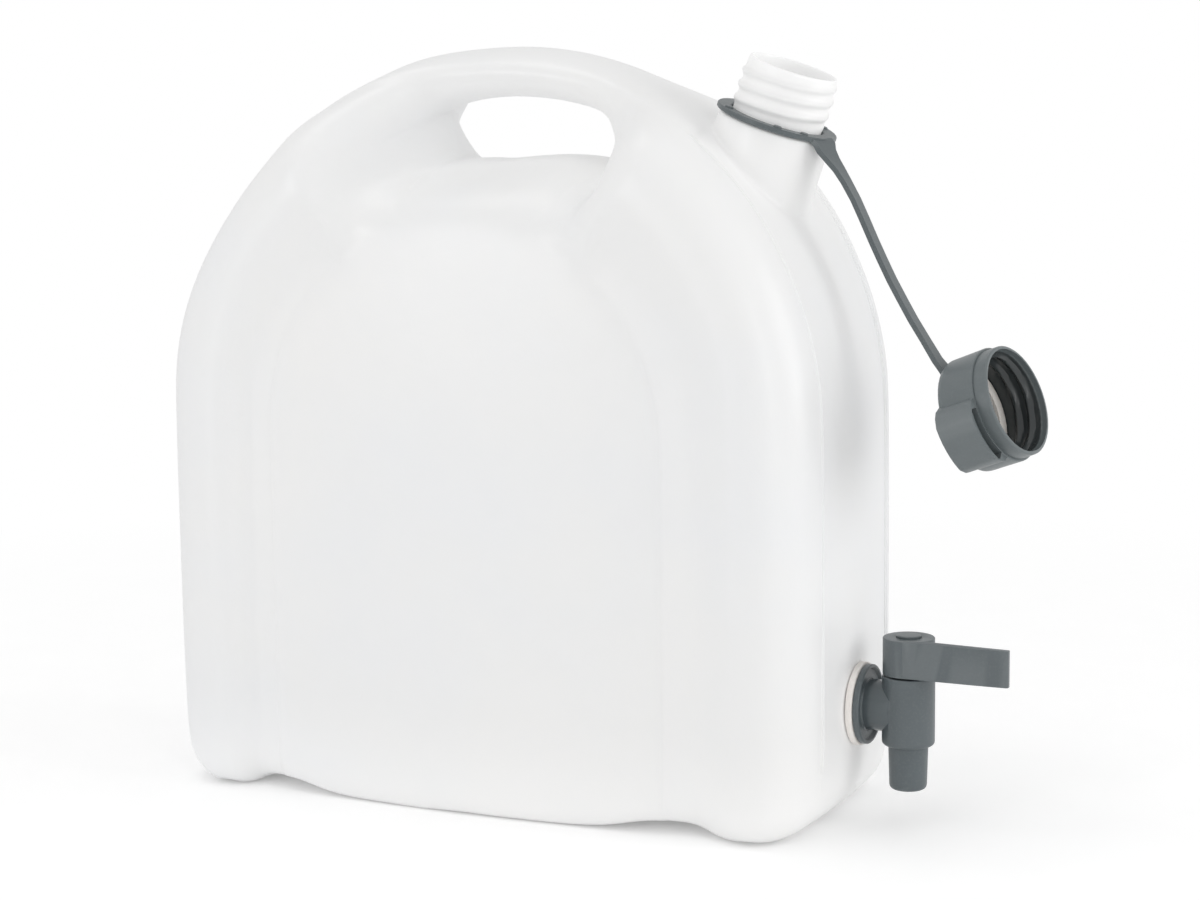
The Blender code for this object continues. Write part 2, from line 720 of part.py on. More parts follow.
def cap_shell(home, cutters, surface):
    placed = cap_matrix()
    sleeve = CAP_LONG - COLLAR_LONG
    profile = [(0, CAP_LONG), (COLLAR_R - 0.5, CAP_LONG), (COLLAR_R, CAP_LONG - 0.5)]
    profile += [(COLLAR_R + 0.1, sleeve + 0.3), (COLLAR_R + 0.1, sleeve - 0.6), (CAP_R - 0.4, sleeve - 0.6)]
    profile += [(CAP_R, sleeve - 1.0), (CAP_R - 0.2, 3.2)]
    profile += [(r, z) for r, z in arc((CAP_R - 3.2, 3.0), 3.0, 0, -90, 4)]
    profile += [(0, 0)]
    shell = turned("cap_shell", profile, 48, home, placed)
    block = outline_solid(
        "pocket block", pocket_outline(POCKET_R, POCKET_HALF, 4.0), 0.6, sleeve - 0.9, cutters, placed
    )
    boolean(shell, block, "UNION")
    slot = outline_solid(
        "pocket slot",
        slot_outline(SLOT_IN_R, POCKET_R - POCKET_WALL, 27.0, 24.0),
        5.0,
        sleeve + 2.0,
        cutters,
        placed,
    )
    boolean(shell, slot, "DIFFERENCE")
    start, end = CAP_FLOOR + 4.4, CAP_LONG - 3.2
    rod = [(CAP_BORE_R, CAP_FLOOR), (CAP_BORE_R, start)]
    count = 14
    rod += [(CAP_BORE_R, mix(start, end, i / count)) for i in range(1, count + 1)]
    rod += [(CAP_BORE_R + 0.2, end + 0.6), (CAP_BORE_R + 0.5, end + 1.2), (CAP_BORE_R + 0.5, CAP_LONG + 1)]
    thread = (NECK_PITCH, -CAP_THREAD, start, end + 0.2, 1.6)
    boolean(shell, threaded_rod("cap bore cutter", rod, 40, thread, cutters, placed), "DIFFERENCE")
    stud = turned(
        "strap stud",
        [(0, 0.5), (STUD_R, 0.5), (STUD_R, -2.9), (STUD_R + 1.3, -2.9), (STUD_R + 0.9, -4.2), (0, -4.6)],
        24,
        cutters,
        placed,
    )
    boolean(shell, stud, "UNION")
    finish(shell, surface)
    return shell


def cap_seal(home, surface):
    low = CAP_FLOOR + GAP
    outer = CAP_BORE_R - GAP
    profile = [(16.0, low + 1.9), (16.3, low + 2.2), (outer - 0.3, low + 2.2), (outer, low + 1.9)]
    profile += [(outer, low), (16.0, low)]
    seal = turned("cap_seal", profile, 40, home, cap_matrix())
    finish(seal, surface)
    return seal


# Tap: the shank, flange and pipe lie along X, the barrel and its plug stand up


def along_tap(x=0.0):
    return axes_matrix((x, 0, TAP_Z), (1, 0, 0), (0, 0, 1))


def upright():
    return axes_matrix((TAP_X, 0, 0), (0, 0, 1), (1, 0, 0))


def gasket_x():
    return CAN_R - STRIP_RECESS + GAP


def inner_wall_x():
    return CAN_R - STRIP_RECESS - WALL


def thread_steps():
    """Where the shank and the nut's bore have their rings, so that the two threads match."""
    first = SHANK_END + 1.0
    return [first + SHANK_PITCH / 4 * i for i in range(30)]


def tap_housing(home, cutters, surface):
    profile = [(0, BARREL_TOP), (BARREL_R - 0.3, BARREL_TOP), (BARREL_R, BARREL_TOP - 0.3)]
    profile += [(r, z) for r, z in arc((BARREL_R - 1.6, BARREL_LOW + 1.6), 1.6, 0, -90, 3)]
    profile += [(SPOUT_R, BARREL_LOW), (SPOUT_TIP_R, SPOUT_LOW + 2.0)]
    profile += [(r, z) for r, z in arc((SPOUT_TIP_R - 2.0, SPOUT_LOW + 2.0), 2.0, -30, -90, 3)]
    profile += [(0, SPOUT_LOW)]
    housing = turned("tap_housing", profile, 36, home, upright())
    face = gasket_x() + GASKET_THICK + GAP
    flange = [(0, TAP_X + 1.0), (PIPE_R, TAP_X + 1.0), (PIPE_R, face + 2.2), (PIPE_R + 0.7, face + 1.5)]
    flange += [(FLANGE_R - 2.2, face + 1.3), (FLANGE_R - 1.4, face + 2.6), (FLANGE_R - 0.4, face + 2.6)]
    flange += [(FLANGE_R, face + 2.2)]
    flange += [(FLANGE_R, face), (0, face)]
    boolean(housing, turned("flange and pipe", flange, 36, cutters, along_tap()), "UNION")
    rod = [(SHANK_R - 0.8, SHANK_END)] + [(SHANK_R, x) for x in thread_steps()] + [(SHANK_R, face + 1.0)]
    thread = (SHANK_PITCH, SHANK_THREAD, SHANK_END + 0.5, inner_wall_x() + 1.0, 1.5)
    boolean(housing, threaded_rod("shank", rod, 24, thread, cutters, along_tap()), "UNION")
    seat = [(0, BARREL_TOP + 1), (CAVITY_R, BARREL_TOP + 1)]
    seat += [(CAVITY_R, BARREL_LOW + 4), (0, BARREL_LOW + 4)]
    boolean(housing, turned("plug cavity cutter", seat, 36, cutters, upright()), "DIFFERENCE")
    drain = [(0, BARREL_LOW + 5), (PORT_R + 1, BARREL_LOW + 5)]
    drain += [(PORT_R + 1, SPOUT_LOW - 1), (0, SPOUT_LOW - 1)]
    boolean(housing, turned("spout bore cutter", drain, 24, cutters, upright()), "DIFFERENCE")
    port = [(0, TAP_X - 4), (PORT_R, TAP_X - 4), (PORT_R, SHANK_END - 1), (0, SHANK_END - 1)]
    boolean(housing, turned("port cutter", port, 24, cutters, along_tap()), "DIFFERENCE")
    finish(housing, surface)
    return housing


def washer(name, low, high, outer, inner, home, surface):
    soft = 0.4
    profile = [(inner, high), (outer - soft, high), (outer, high - soft), (outer, low + soft)]
    profile += [(outer - soft, low), (inner, low)]
    made = turned(name, profile, 36, home, along_tap())
    finish(made, surface)
    return made


def gaskets(home, surface):
    hole = SHANK_R + SHANK_THREAD + GAP
    washer("tap_outer_gasket", gasket_x(), gasket_x() + GASKET_THICK, GASKET_R, hole, home, surface)
    wall = inner_wall_x() - 0.9
    washer("tap_inner_gasket", wall - 2.0, wall, GASKET_R - 2.5, hole, home, surface)


def back_nut(home, cutters, surface):
    """A hexagonal nut with a collar. Its bore is cut by the shank's own thread, a gap larger."""
    high = inner_wall_x() - 0.9 - 2.0 - GAP
    low = high - 9.0
    corners = [(NUT_R * math.cos(math.pi / 3 * i), NUT_R * math.sin(math.pi / 3 * i)) for i in range(6)]
    nut = outline_solid("tap_back_nut", corners, low, high - 2.0, home, along_tap())
    collar = [(0, high), (NUT_R - 0.6, high), (NUT_R - 0.2, high - 0.4)]
    collar += [(NUT_R - 0.2, high - 2.4), (0, high - 2.4)]
    boolean(nut, turned("nut collar", collar, 36, cutters, along_tap()), "UNION")
    rod = [(SHANK_R + GAP, x) for x in thread_steps()]
    thread = (SHANK_PITCH, SHANK_THREAD, low - 9.0, high + 9.0, 1.5)
    boolean(nut, threaded_rod("nut bore cutter", rod, 24, thread, cutters, along_tap()), "DIFFERENCE")
    finish(nut, surface)
    return nut


def ring_heights():
    return (("plug_oring_lower", TAP_Z - 8.5), ("plug_oring_upper", TAP_Z + 7.5))


def tap_plug(home, cutters, surface):
    """The plug, open below and to one side, with a square drive and a round stem that ends in a button."""
    low = BARREL_LOW + 4 + GAP
    groove = 1.0
    profile = [(0, HUB_TOP + 1.0), (STEM_R - 0.4, HUB_TOP + 1.0), (STEM_R, HUB_TOP + 0.7)]
    profile += [(STEM_R, BARREL_TOP - 1.0), (PLUG_R - 0.3, BARREL_TOP - 1.0), (PLUG_R, BARREL_TOP - 1.3)]
    for _, z in reversed(ring_heights()):
        profile += [(PLUG_R, z + groove), (PLUG_R - 1.4, z + groove)]
        profile += [(PLUG_R - 1.4, z - groove), (PLUG_R, z - groove)]
    profile += [(PLUG_R, low + 0.4), (PLUG_R - 0.4, low), (0, low)]
    plug = turned("tap_plug", profile, 36, home, upright())
    side = 2 * STEM_R * 0.86
    half = side / 2 + 0.9
    corners = [(-half, -half), (half, -half), (half, half), (-half, half)]
    square = outline_solid("plug drive", corners, BARREL_TOP - 1.4, BARREL_TOP + 10.0, cutters, upright())
    boolean(plug, square, "UNION")
    down = [(0, TAP_Z + 1), (PORT_R, TAP_Z + 1), (PORT_R, low - 1), (0, low - 1)]
    boolean(plug, turned("plug drain cutter", down, 24, cutters, upright()), "DIFFERENCE")
    side_way = [(0, 12.0), (PORT_R - 0.6, 12.0), (PORT_R - 0.6, 0), (0, 0)]
    placed = axes_matrix((TAP_X, 0, TAP_Z), (0, 1, 0), (0, 0, 1))
    boolean(plug, turned("plug port cutter", side_way, 24, cutters, placed), "DIFFERENCE")
    finish(plug, surface)
    return plug


def plug_orings(home, surface):
    radius = 0.72
    middle = CAVITY_R - 0.12 - radius
    for name, z in ring_heights():
        profile = arc((middle, z), radius, 90, -270, 6)[:-1]
        ring = turned(name, profile, 24, home, upright())
        finish(ring, surface)


def arm_outline():
    """The arm seen from above: its near side leaves the hub as a tangent and is slightly hollow."""
    end = ARM_END_X - TAP_X
    leave = math.radians(4.0)
    start = (HUB_R * math.sin(leave), -HUB_R * math.cos(leave))
    bow = ((-4.6 - start[1]) - (end - start[0]) * math.tan(leave)) / math.pi
    points = [(0.0, 0.0)]
    steps = 12
    for i in range(steps + 1):
        t = i / steps
        points.append((mix(start[0], end - 0.6, t), mix(start[1], -4.6, t) - bow * math.sin(math.pi * t)))
    return points + [(end, -4.0), (end, -1.8), (end - 0.6, -1.2), (HUB_R * 0.8, -HUB_R * 0.52)]


def tap_lever(home, cutters, surface):
    profile = [(0, HUB_TOP), (HUB_R - 0.3, HUB_TOP), (HUB_R, HUB_TOP - 0.3), (HUB_R, HUB_LOW), (0, HUB_LOW)]
    lever = turned("tap_lever", profile, 48, home, upright())
    arm = outline_solid("lever arm", arm_outline(), HUB_LOW + 0.04, HUB_TOP - 0.04, cutters, upright())
    reach = (ARM_END_X - TAP_X - HUB_R) * MM
    for spot in arm.data.vertices:
        spot.co.z -= ARM_FALL * MM * max(0.0, (spot.co.x - HUB_R * MM) / reach)
    boolean(lever, arm, "UNION")
    hole = [(0, HUB_TOP + 1), (STEM_R + GAP, HUB_TOP + 1), (STEM_R + GAP, HUB_LOW - 1), (0, HUB_LOW - 1)]
    boolean(lever, turned("stem hole cutter", hole, 36, cutters, upright()), "DIFFERENCE")
    half = STEM_R * 0.86 + 0.9 + GAP
    corners = [(-half, -half), (half, -half), (half, half), (-half, half)]
    high = BARREL_TOP + 10.0 + GAP
    socket = outline_solid("drive socket cutter", corners, HUB_LOW - 1.0, high, cutters, upright())
    boolean(lever, socket, "DIFFERENCE")
    finish(lever, surface)
    return lever


def main():
    for old in list(bpy.data.objects):
        bpy.data.objects.remove(old)
    home = collection("jerrycan_with_tap")
    cutters = collection("cutters")
    cutters.hide_render = True
    natural = material("natural_polyethylene", (0.86, 0.87, 0.86), 0.45, 0.3)
    grey = material("dark_grey_plastic", (0.118, 0.142, 0.150), 0.45)
    cream = material("cream_seal", (0.78, 0.69, 0.58), 0.6)
    peach = material("peach_gasket", (0.80, 0.62, 0.50), 0.6)
    nut_white = material("white_nut_plastic", (0.75, 0.76, 0.75), 0.4)
    inner_grey = material("plug_plastic", (0.118, 0.142, 0.150), 0.4)
    black = material("black_rubber", (0.02, 0.02, 0.02), 0.6)
    can_body(home, cutters, natural)
    neck_strap(home, cutters, grey)
    cap_shell(home, cutters, grey.copy())
    cap_seal(home, cream)
    tap_housing(home, cutters, grey.copy())
    gaskets(home, peach)
    back_nut(home, cutters, nut_white)
    tap_plug(home, cutters, inner_grey)
    plug_orings(home, black)
    tap_lever(home, cutters, grey.copy())
    bpy.context.view_layer.update()


main()
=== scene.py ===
"""Jerrycan with tap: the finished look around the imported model.

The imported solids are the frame. The can is shown by a finer, rounded copy of
its solid, with fine beads beside its front strip. Every other piece keeps its
solid and gets soft edges and a finish. Lengths are metres.
"""
import json
import math
from collections import namedtuple

import bmesh
import bpy
from mathutils import Matrix, Vector
from mathutils.bvhtree import BVHTree


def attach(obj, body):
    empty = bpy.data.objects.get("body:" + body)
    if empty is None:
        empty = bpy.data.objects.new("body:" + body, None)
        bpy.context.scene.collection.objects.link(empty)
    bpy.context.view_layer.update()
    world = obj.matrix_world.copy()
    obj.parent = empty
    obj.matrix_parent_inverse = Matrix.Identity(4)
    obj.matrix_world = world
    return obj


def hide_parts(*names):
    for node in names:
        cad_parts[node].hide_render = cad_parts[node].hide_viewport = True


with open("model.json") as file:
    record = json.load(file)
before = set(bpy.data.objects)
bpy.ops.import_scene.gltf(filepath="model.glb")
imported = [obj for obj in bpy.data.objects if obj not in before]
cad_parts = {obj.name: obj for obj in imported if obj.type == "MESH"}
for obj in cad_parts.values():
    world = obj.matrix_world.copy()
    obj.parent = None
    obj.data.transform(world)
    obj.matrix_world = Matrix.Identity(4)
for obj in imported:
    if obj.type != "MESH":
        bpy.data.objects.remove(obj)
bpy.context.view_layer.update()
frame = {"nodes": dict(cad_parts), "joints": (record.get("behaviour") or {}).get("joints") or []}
NODES = frame["nodes"]
JOINTS = {joint["name"]: joint for joint in frame["joints"]}

# Places on the can, and values that several pieces share
ARCH_Z = 0.176
TAP_Z = 0.052
NECK_PLACE = JOINTS["strap_turn"]["pos_m"]
NECK_AXIS = JOINTS["strap_turn"]["axis"]
CAP_PLACE = JOINTS["cap_swivel"]["pos_m"]
CAP_AXIS = JOINTS["cap_swivel"]["axis"]
ALONG = (1.0, 0.0, 0.0)
UPWARD = (0.0, 0.0, 1.0)
MERGE_DISTANCE = 2.0e-6
NOISE_LOW = 0.3
NOISE_HIGH = 0.7

# Camera
CAMERA_PLACE = Vector((0.5577, -1.1261, 0.3524))
CAMERA_AZIMUTH = math.radians(24.87)
CAMERA_ELEVATION = math.radians(8.94)
CAMERA_ROLL = math.radians(0.68)
CAMERA_NEAREST = 0.05
FOCAL_PIXELS = 2793.0
PICTURE_WIDTH = 1200.0
SENSOR_MM = 36.0


def set_camera():
    """The camera stands where the photograph was taken from."""
    right = Vector((math.cos(CAMERA_AZIMUTH), math.sin(CAMERA_AZIMUTH), 0.0))
    ahead = Vector((
        -math.sin(CAMERA_AZIMUTH) * math.cos(CAMERA_ELEVATION),
        math.cos(CAMERA_AZIMUTH) * math.cos(CAMERA_ELEVATION),
        -math.sin(CAMERA_ELEVATION),
    ))
    up = right.cross(ahead)
    roll_cos = math.cos(CAMERA_ROLL)
    roll_sin = math.sin(CAMERA_ROLL)
    rolled_right = right * roll_cos - up * roll_sin
    rolled_up = right * roll_sin + up * roll_cos
    place = Matrix((rolled_right, rolled_up, -ahead)).transposed().to_4x4()
    place.translation = CAMERA_PLACE
    data = bpy.data.cameras.new("camera")
    data.sensor_width = SENSOR_MM
    data.lens = FOCAL_PIXELS / PICTURE_WIDTH * SENSOR_MM
    data.clip_start = CAMERA_NEAREST
    camera = bpy.data.objects.new("camera", data)
    camera.matrix_world = place
    bpy.context.scene.collection.objects.link(camera)
    bpy.context.scene.camera = camera


# Shader building
def new_material(name):
    """An empty material: itself, its tree and its output."""
    material = bpy.data.materials.new(name)
    material.use_nodes = True
    tree = material.node_tree
    tree.nodes.clear()
    return material, tree, tree.nodes.new("ShaderNodeOutputMaterial")


def put(node, **values):
    """Sets inputs by name, written with underscores for spaces."""
    for key, value in values.items():
        node.inputs[key.replace("_", " ")].default_value = value
    return node


def object_place(tree, centre=(0.0, 0.0, 0.0)):
    """The point on the piece, measured from the centre."""
    where = tree.nodes.new("ShaderNodeTexCoord")
    mapping = tree.nodes.new("ShaderNodeMapping")
    mapping.inputs["Location"].default_value = [-part for part in centre]
    tree.links.new(where.outputs["Object"], mapping.inputs["Vector"])
    return mapping.outputs["Vector"]


def noise(tree, place, scale, detail, roughness):
    """Soft noise, 0 to 1, with that many spots to the metre."""
    node = put(tree.nodes.new("ShaderNodeTexNoise"), Scale=scale, Detail=detail, Roughness=roughness)
    tree.links.new(place, node.inputs["Vector"])
    return node.outputs["Fac"]


def ramp(tree, value, stops):
    """A colour that follows the stops (value, colour)."""
    node = tree.nodes.new("ShaderNodeValToRGB")
    line = node.color_ramp
    while len(line.elements) < len(stops):
        line.elements.new(0.5)
    for element, (where, colour) in zip(line.elements, stops):
        element.position = where
        element.color = (*colour, 1.0)
    tree.links.new(value, node.inputs["Fac"])
    return node.outputs["Color"]


def stretch(tree, value, low, high, to_low=0.0, to_high=1.0):
    """The value's range low..high laid onto to_low..to_high, and held at its ends."""
    node = tree.nodes.new("ShaderNodeMapRange")
    put(node, From_Min=low, From_Max=high, To_Min=to_low, To_Max=to_high)
    tree.links.new(value, node.inputs["Value"])
    return node.outputs["Result"]


def maths(tree, operation, first, second):
    """One operation on two values, each a socket or a number."""
    node = tree.nodes.new("ShaderNodeMath")
    node.operation = operation
    for socket, value in zip(node.inputs, (first, second)):
        if isinstance(value, float):
            socket.default_value = value
        else:
            tree.links.new(value, socket)
    return node.outputs["Value"]


def mix_colours(tree, share, first, second):
    """The first colour with a share of the second, each a socket or a colour."""
    node = tree.nodes.new("ShaderNodeMix")
    node.data_type = "RGBA"
    tree.links.new(share, node.inputs[0])
    for socket, value in ((node.inputs[6], first), (node.inputs[7], second)):
        if isinstance(value, tuple):
            socket.default_value = (*value, 1.0)
        else:
            tree.links.new(value, socket)
    return node.outputs[2]


def bump(tree, height, distance, strength, under=None):
    """A relief of that depth, laid over the one under it."""
    node = put(tree.nodes.new("ShaderNodeBump"), Distance=distance, Strength=strength)
    tree.links.new(height, node.inputs["Height"])
    if under is not None:
        tree.links.new(under, node.inputs["Normal"])
    return node.outputs["Normal"]


def vector_maths(tree, operation, place, direction=None):
    """One vector operation on the point, with a fixed direction where it takes one."""
    node = tree.nodes.new("ShaderNodeVectorMath")
    node.operation = operation
    tree.links.new(place, node.inputs[0])
    if direction is not None:
        node.inputs[1].default_value = direction
    return node


def line_distance(tree, place, direction):
    """Distance from the line that runs along the direction through the centre."""
    across = vector_maths(tree, "CROSS_PRODUCT", place, direction)
    return vector_maths(tree, "LENGTH", across.outputs["Vector"]).outputs["Value"]


def line_height(tree, place, direction):
    """Height above the centre, along the direction."""
    return vector_maths(tree, "DOT_PRODUCT", place, direction).outputs["Value"]


# Milky polyethylene
CAN_WHITE = (0.845, 0.846, 0.845)
CAN_WARM = (0.855, 0.852, 0.846)
CAN_COOL = (0.835, 0.840, 0.848)
CAN_PALE = (0.87, 0.87, 0.869)
CAN_PALE_SHARE = 0.22
CAN_ROUGH_LEAST = 0.31
CAN_ROUGH_MOST = 0.38
CAN_GRAIN_SMOOTHER = -0.02
CAN_GRAIN_ROUGHER = 0.03
CAN_MOTTLE_DEPTH = 0.0005
CAN_GRAIN_DEPTH = 0.00005
GLOW_COLOUR = (1.0, 0.997, 0.99, 1.0)
NECK_BORE_R = 0.0205
NECK_BORE_EDGE = 0.0008
MOUTH_DEPTH = -0.045
MOUTH_TOP = 0.02
MOUTH_GLOW = 0.12
SHADE_REACH = 0.05
SHADE_SAMPLES = 8
SHADE_DEEP = 0.60
SHADE_OPEN = 0.97
SHADE_GLOW = 0.07


def neck_light(tree):
    """Daylight that comes through the neck's thin wall and shows inside its mouth."""
    neck = object_place(tree, NECK_PLACE)
    from_axis = line_distance(tree, neck, NECK_AXIS)
    bore = stretch(tree, from_axis, NECK_BORE_R - NECK_BORE_EDGE, NECK_BORE_R, 1.0, 0.0)
    mouth = stretch(tree, line_height(tree, neck, NECK_AXIS), MOUTH_DEPTH, MOUTH_TOP)
    return maths(tree, "MULTIPLY", maths(tree, "MULTIPLY", bore, mouth), MOUTH_GLOW)


def wall_light(tree):
    """Light that spreads inside the milky wall into its shaded places."""
    shade = put(tree.nodes.new("ShaderNodeAmbientOcclusion"), Distance=SHADE_REACH)
    shade.samples = SHADE_SAMPLES
    return stretch(tree, shade.outputs["AO"], SHADE_DEEP, SHADE_OPEN, SHADE_GLOW, 0.0)


def natural_polyethylene():
    """Blow-moulded natural polyethylene: milky, satin, faintly mottled."""
    material, tree, out = new_material("natural_polyethylene_skin")
    here = object_place(tree)
    cloud = noise(tree, here, scale=9.0, detail=4.0, roughness=0.55)
    mottle = noise(tree, here, scale=60.0, detail=3.0, roughness=0.6)
    grain = noise(tree, here, scale=900.0, detail=2.0, roughness=0.5)
    colour = ramp(tree, cloud, ((0.35, CAN_COOL), (0.5, CAN_WHITE), (0.66, CAN_WARM)))
    pale = stretch(tree, mottle, NOISE_LOW, 0.75, 0.0, CAN_PALE_SHARE)
    satin = stretch(tree, mottle, NOISE_LOW, NOISE_HIGH, CAN_ROUGH_LEAST, CAN_ROUGH_MOST)
    fine = stretch(tree, grain, NOISE_LOW, NOISE_HIGH, CAN_GRAIN_SMOOTHER, CAN_GRAIN_ROUGHER)
    relief = bump(tree, mottle, CAN_MOTTLE_DEPTH, 0.25)
    shader = put(
        tree.nodes.new("ShaderNodeBsdfPrincipled"), IOR=1.5, Subsurface_Weight=0.12,
        Subsurface_Radius=(0.002, 0.002, 0.0019), Subsurface_Scale=1.0, Emission_Color=GLOW_COLOUR,
    )
    tree.links.new(mix_colours(tree, pale, colour, CAN_PALE), shader.inputs["Base Color"])
    tree.links.new(maths(tree, "ADD", satin, fine), shader.inputs["Roughness"])
    tree.links.new(bump(tree, grain, CAN_GRAIN_DEPTH, 0.35, relief), shader.inputs["Normal"])
    glow = maths(tree, "ADD", neck_light(tree), wall_light(tree))
    tree.links.new(glow, shader.inputs["Emission Strength"])
    tree.links.new(shader.outputs["BSDF"], out.inputs["Surface"])
    return material


# Grained mouldings
# A polish: a smoother surface within a radius of its line, up to its end; a shade below 1 darkens the colour
# there, a painted shade.
Polish = namedtuple("Polish", "place axis radius end shade rough")
POLISH_SIDE_FADE = 0.0003
POLISH_END_FADE = 0.0004
PAST_THE_CAP = 1.0
PIPE_POLISH = Polish(place=(0.0, 0.0, TAP_Z), axis=ALONG, radius=0.0116, end=0.1762, shade=1.0, rough=0.16)
# The cap's bore is polished, and its colour darkened to about a third: painted shade inside the cap.
CAP_BORE_POLISH_AND_SHADE = Polish(
    place=CAP_PLACE, axis=CAP_AXIS, radius=0.0222, end=PAST_THE_CAP, shade=0.34, rough=0.18,
)
TAP_GREY = (0.096, 0.114, 0.122)
CAP_GREY = (0.128, 0.148, 0.154)
STRAP_GREY = (0.090, 0.107, 0.113)
PLUG_GREY = (0.080, 0.096, 0.102)
# Paler grey for random specks, and for the painted highlight on the edges.
SPECK_AND_EDGE_HIGHLIGHT_GREY = (0.20, 0.22, 0.225)
NUT_WHITE = (0.74, 0.75, 0.745)
# Paler white for the nut's random specks and its painted edge highlight.
SPECK_AND_EDGE_HIGHLIGHT_WHITE = (0.84, 0.84, 0.83)
SPECK_TO_GRAIN = 0.37
SPECK_SHARE = 0.12
EDGE_HIGHLIGHT_SHARE = 0.35
EDGE_FLAT = 0.52
EDGE_SHARP = 0.60
CLOUD_DEPTH_TO_GRAIN = 6.0
ROUGH_SPREAD = 0.05


def toned(colour, share):
    """The colour made lighter or darker by that share."""
    return tuple(part * share for part in colour)


def edge_highlight_share(tree):
    """Where the painted edge highlight goes: 1 on the piece's outer edges, 0 on its faces."""
    where = tree.nodes.new("ShaderNodeNewGeometry")
    return stretch(tree, where.outputs["Pointiness"], EDGE_FLAT, EDGE_SHARP)


def polished_share(tree, polish):
    """1 near the polish's line and before its end, 0 elsewhere."""
    near = object_place(tree, polish.place)
    from_line = line_distance(tree, near, polish.axis)
    inside = stretch(tree, from_line, polish.radius - POLISH_SIDE_FADE, polish.radius, 1.0, 0.0)
    height = line_height(tree, near, polish.axis)
    before_end = stretch(tree, height, polish.end, polish.end + POLISH_END_FADE, 1.0, 0.0)
    return maths(tree, "MULTIPLY", inside, before_end)


def grained_moulding(name, base, rough, grain_scale, grain_depth, speck_and_edge_highlight=SPECK_AND_EDGE_HIGHLIGHT_GREY, polish=None):
    """Finely grained moulded plastic with pale random specks and a painted highlight on its edges, smoother
    where it is polished, and darker there by painted shade where the polish's shade is below 1.
    """
    material, tree, out = new_material(name)
    here = object_place(tree)
    cloud = noise(tree, here, scale=45.0, detail=4.0, roughness=0.6)
    grain = noise(tree, here, grain_scale, detail=2.0, roughness=0.6)
    speck = noise(tree, here, grain_scale * SPECK_TO_GRAIN, detail=1.0, roughness=0.5)
    colour = ramp(tree, cloud, ((0.32, toned(base, 0.96)), (0.52, base), (0.70, toned(base, 1.04))))
    colour = mix_colours(tree, stretch(tree, speck, 0.5, 0.75, 0.0, SPECK_SHARE), colour, speck_and_edge_highlight)
    # Painted highlight: the outer edges are mixed towards the paler colour.
    colour = mix_colours(tree, maths(tree, "MULTIPLY", edge_highlight_share(tree), EDGE_HIGHLIGHT_SHARE), colour, speck_and_edge_highlight)
    gloss = stretch(tree, grain, NOISE_LOW, NOISE_HIGH, rough - ROUGH_SPREAD, rough + ROUGH_SPREAD)
    if polish is not None:
        polished = polished_share(tree, polish)
        # Painted shade: where polished, the colour darkens by the polish's shade.
        colour = mix_colours(tree, polished, colour, toned(base, polish.shade))
        smoother = maths(tree, "MULTIPLY", polished, rough - polish.rough)
        gloss = maths(tree, "SUBTRACT", gloss, smoother)
    relief = bump(tree, grain, grain_depth, 0.6)
    relief = bump(tree, cloud, grain_depth * CLOUD_DEPTH_TO_GRAIN, 0.25, relief)
    shader = put(tree.nodes.new("ShaderNodeBsdfPrincipled"), IOR=1.49)
    tree.links.new(colour, shader.inputs["Base Color"])
    tree.links.new(gloss, shader.inputs["Roughness"])
    tree.links.new(relief, shader.inputs["Normal"])
    tree.links.new(shader.outputs["BSDF"], out.inputs["Surface"])
    return material


# Rubber and foam
# Each base colour comes with a darker pore colour: painted shade in the pores' hollows.
SEAL_CREAM = (0.90, 0.86, 0.81)
SEAL_PORE_SHADE = (0.66, 0.58, 0.50)
GASKET_PEACH = (0.94, 0.90, 0.86)
GASKET_PORE_SHADE = (0.86, 0.76, 0.68)
RING_BLACK = (0.022, 0.022, 0.023)
RING_PORE_SHADE = (0.01, 0.01, 0.01)
PORE_SHADE_SHARE = 0.30
PORE_RIM = 0.45


def soft_rubber(name, base, pore_shade, rough, pore_scale, pore_depth):
    """Matt rubber or closed-cell foam with fine pores, whose hollows are darkened by painted shade."""
    material, tree, out = new_material(name)
    here = object_place(tree)
    cloud = noise(tree, here, scale=120.0, detail=4.0, roughness=0.6)
    cells = put(tree.nodes.new("ShaderNodeTexVoronoi"), Scale=pore_scale, Randomness=1.0)
    tree.links.new(here, cells.inputs["Vector"])
    hollow = stretch(tree, cells.outputs["Distance"], 0.0, PORE_RIM)
    colour = ramp(tree, cloud, ((0.35, toned(base, 0.92)), (0.65, base)))
    # Painted shade: the pores' hollows are mixed towards the darker pore colour.
    pore_shade_share = stretch(tree, hollow, 0.0, 1.0, PORE_SHADE_SHARE, 0.0)
    matt = stretch(tree, cloud, NOISE_LOW, NOISE_HIGH, rough - ROUGH_SPREAD, rough + ROUGH_SPREAD)
    shader = put(tree.nodes.new("ShaderNodeBsdfPrincipled"), IOR=1.5)
    tree.links.new(mix_colours(tree, pore_shade_share, colour, pore_shade), shader.inputs["Base Color"])
    tree.links.new(matt, shader.inputs["Roughness"])
    tree.links.new(bump(tree, hollow, pore_depth, 0.5), shader.inputs["Normal"])
    tree.links.new(shader.outputs["BSDF"], out.inputs["Surface"])
    return material


# Mesh helpers
PAIR_FOLD = math.radians(22.0)
PAIR_SKEW = math.radians(50.0)


def paired(mesh):
    """A copy of the solid's mesh: its loose triangles merged, and paired into quads."""
    shape = bmesh.new()
    shape.from_mesh(mesh)
    bmesh.ops.remove_doubles(shape, verts=shape.verts, dist=MERGE_DISTANCE)
    bmesh.ops.dissolve_degenerate(shape, edges=shape.edges, dist=MERGE_DISTANCE)
    bmesh.ops.join_triangles(
        shape, faces=shape.faces, angle_face_threshold=PAIR_FOLD, angle_shape_threshold=PAIR_SKEW,
    )
    return shape


